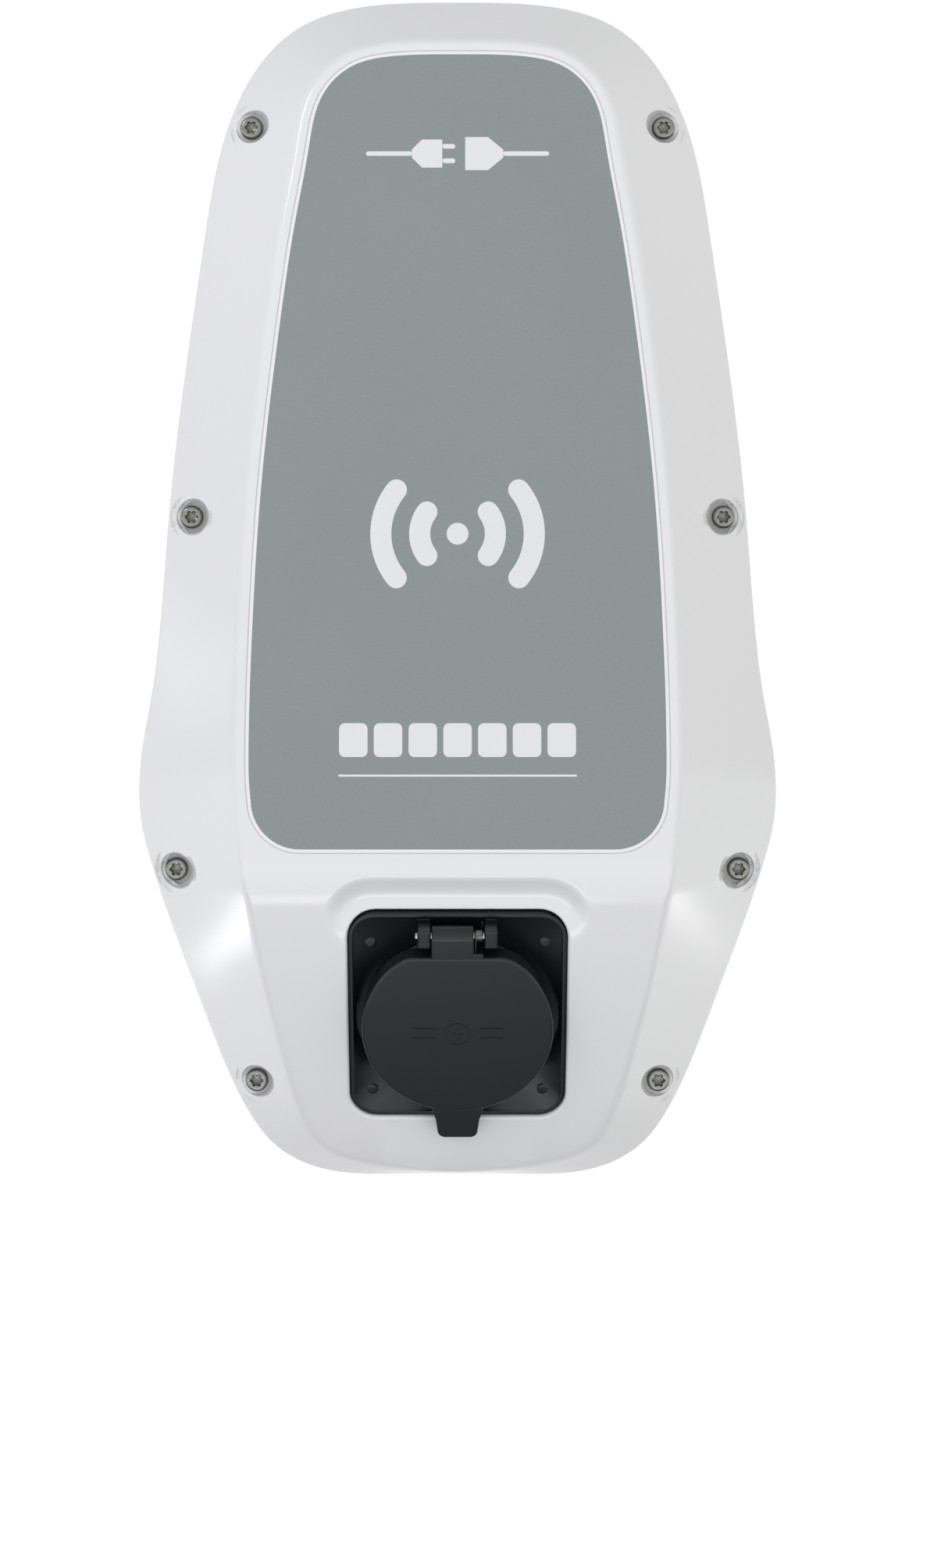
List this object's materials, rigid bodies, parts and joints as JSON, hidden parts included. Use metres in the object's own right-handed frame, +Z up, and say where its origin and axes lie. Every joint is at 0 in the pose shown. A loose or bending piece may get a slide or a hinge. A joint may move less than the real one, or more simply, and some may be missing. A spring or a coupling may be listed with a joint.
{
  "type": "wall-mounted vehicle charging station",
  "caption": "Wall-mounted car charging station: shield-shaped white cover, grey front film with contactless symbol, tilted Type 2 socket under a self-closing black lid.",
  "frame": {"origin": "centre of the four wall-screw holes, on the back face that lies against the wall", "axes": "+Z up, +X to the right seen from the front, the front faces -Y and +Y points into the wall"},
  "size_m": [0.259, 0.1281, 0.476],
  "materials": {
    "housing_plastic": "fine eroded texture, moulded polycarbonate blend",
    "cover_plastic": "high gloss, injection moulded, white",
    "film": "grey printed film with a fine matt grain",
    "socket_plastic": "black glass-filled nylon, fine grain",
    "lid_plastic": "black nylon, fine spark-eroded grain",
    "socket_body_plastic": "black nylon, plain moulded",
    "carrier_plastic": "black glass-filled nylon",
    "black_rubber": "moulded EPDM",
    "vent_plastic": "black nylon",
    "stainless": "passivated stainless steel",
    "pin_steel": "ground stainless pin",
    "spring_steel": "drawn spring wire",
    "brass": "turned brass",
    "silvered": "silver-plated brass",
    "gear_plastic": "natural acetal",
    "motor_steel": "drawn steel can",
    "zinc_plate": "zinc-plated sheet steel",
    "module_plastic": "light grey thermoplastic",
    "coil_yellow": "taped winding",
    "armature_steel": "laminated iron",
    "terminal_plastic": "grey nylon",
    "circuit_board": "green solder mask on glass-fibre laminate",
    "component_black": "black moulded component bodies",
    "selector_blue": "blue thermoplastic",
    "selector_white": "white thermoplastic"
  },
  "bodies": {
    "housing": {"rear_housing": "housing_plastic", "housing_inserts": "brass", "cable_grommet": "black_rubber", "vent_plug": "vent_plastic", "wall_washers": "black_rubber", "cover_gasket": "black_rubber", "front_cover": "cover_plastic", "front_film": "film", "cover_screws": "stainless", "socket_frame": "socket_plastic", "socket_gasket": "black_rubber", "frame_screws": "stainless", "hinge_pin": "pin_steel", "lid_spring": "spring_steel", "socket_body": "socket_body_plastic", "body_screws": "stainless", "contact_carrier": "carrier_plastic", "contact_base": "carrier_plastic", "power_contacts": "silvered", "pilot_contacts": "silvered", "lock_motor": "motor_steel", "lock_housing": "socket_body_plastic", "lock_bracket": "socket_body_plastic", "lock_cover": "socket_body_plastic", "lock_screws": "stainless", "mounting_plate": "zinc_plate", "plate_screws": "stainless", "din_rail": "zinc_plate", "contactor_housing": "module_plastic", "contactor_coil": "coil_yellow", "fault_current_monitor": "module_plastic", "terminal_blocks": "terminal_plastic", "earth_bar": "brass", "controller_board": "circuit_board", "board_components": "component_black", "power_module": "component_black", "selector_body": "selector_blue", "board_standoffs": "brass", "board_screws": "stainless", "antenna_board": "circuit_board", "antenna_screws": "stainless"},
    "lid": {"socket_lid": "lid_plastic", "lid_seal": "black_rubber"},
    "lock_wheel": {"lock_gear": "gear_plastic"},
    "lock_slider": {"lock_bolt": "pin_steel"},
    "motor_rotor": {"motor_pinion": "brass"},
    "armature": {"contactor_armature": "armature_steel"},
    "selector_dial": {"current_selector": "selector_white"}
  },
  "joints": [
    {"name": "lid_hinge", "type": "hinge", "parent": "housing", "child": "lid", "pos_m": [0, -0.12318, -0.13405], "axis": [-1, 0, 0], "range_deg": [0, 105], "stiffness_Nm_per_rad": 0.05, "springref_deg": -34.38},
    {"name": "lock_wheel_spin", "type": "hinge", "parent": "housing", "child": "lock_wheel", "pos_m": [0.011, -0.12613, -0.11921], "axis": [0, -0.9063, -0.4226], "range_deg": [0, 39.4]},
    {"name": "lock_bolt_slide", "type": "slide", "parent": "housing", "child": "lock_slider", "axis": [0, 0.4226, -0.9063], "range_m": [0, 0.0055]},
    {"name": "motor_spin", "type": "hinge", "parent": "housing", "child": "motor_rotor", "pos_m": [0.023, -0.12613, -0.11921], "axis": [0, -0.9063, -0.4226], "range_deg": [-79, 0]},
    {"name": "contactor_pull_in", "type": "slide", "parent": "housing", "child": "armature", "axis": [0, 1, 0], "range_m": [0, 0.0035], "stiffness_N_per_m": 500, "springref_m": -0.002},
    {"name": "current_dial", "type": "hinge", "parent": "housing", "child": "selector_dial", "pos_m": [0.028, 0, 0.08802], "axis": [0, -1, 0], "range_deg": [0, 337.5]}
  ],
  "couplings": [
    {"joint": "lock_wheel_spin", "follows": "lock_bolt_slide", "rad_per_m": 125},
    {"joint": "motor_spin", "follows": "lock_bolt_slide", "rad_per_m": -250}
  ]
}
